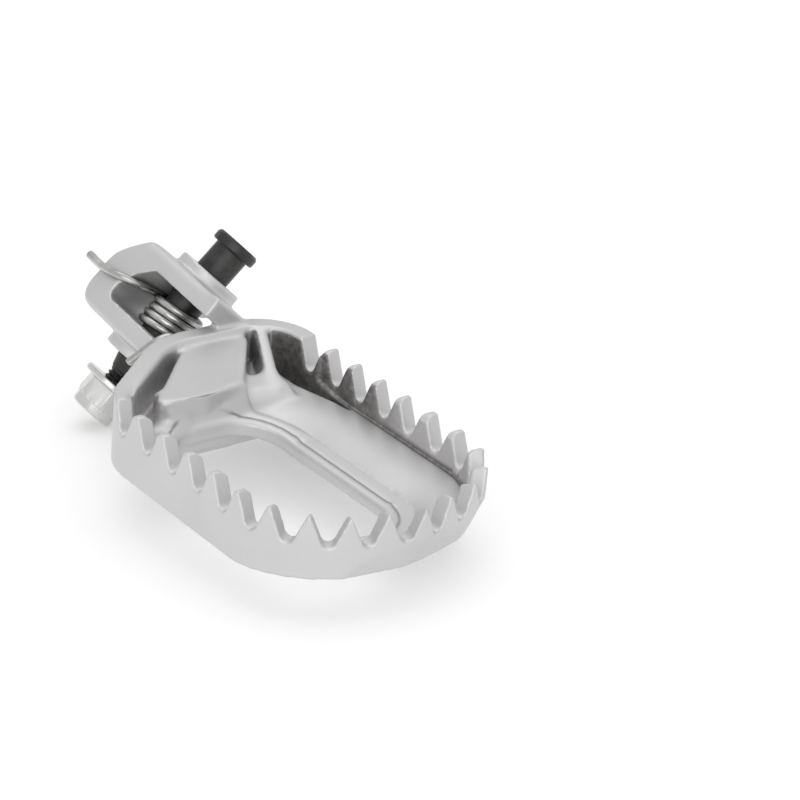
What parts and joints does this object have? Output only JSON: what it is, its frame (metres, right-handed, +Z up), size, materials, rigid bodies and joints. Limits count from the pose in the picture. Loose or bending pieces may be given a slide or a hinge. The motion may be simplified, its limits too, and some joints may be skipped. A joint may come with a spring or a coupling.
{
  "type": "folding motorcycle foot peg",
  "caption": "Folding cast steel foot peg: open toothed tread ring, forked hinge block, stepped pin with flange nut and torsion return spring.",
  "frame": {"origin": "on the hinge pin axis, half way between the two lug boss faces", "axes": "+X outboard from the motorcycle to the tip of the peg, +Y toward the wall on the pin head side, +Z up from the tread, with the valley bottoms of the teeth in the plane Z = 0"},
  "size_m": [0.127, 0.0579, 0.0416],
  "materials": {
    "peg_casting": "satin bead-blasted casting",
    "hinge_pin": "black oxide, semi-matte",
    "flange_nut": "bright zinc plate",
    "nut_lock_ring": "moulded nylon",
    "return_spring": "bright drawn wire"
  },
  "bodies": {
    "pin": {"hinge_pin": "hinge_pin", "flange_nut": "flange_nut", "nut_lock_ring": "nut_lock_ring", "return_spring": "return_spring"},
    "peg": {"peg_casting": "peg_casting"}
  },
  "joints": [
    {"name": "peg_fold", "type": "hinge", "parent": "pin", "child": "peg", "pos_m": [0, 0, 0], "axis": [-0.101, -0.6758, -0.7302], "range_deg": [0, 75], "stiffness_Nm_per_rad": 0.6, "springref_deg": -68.75, "deforming": ["return_spring"]}
  ]
}
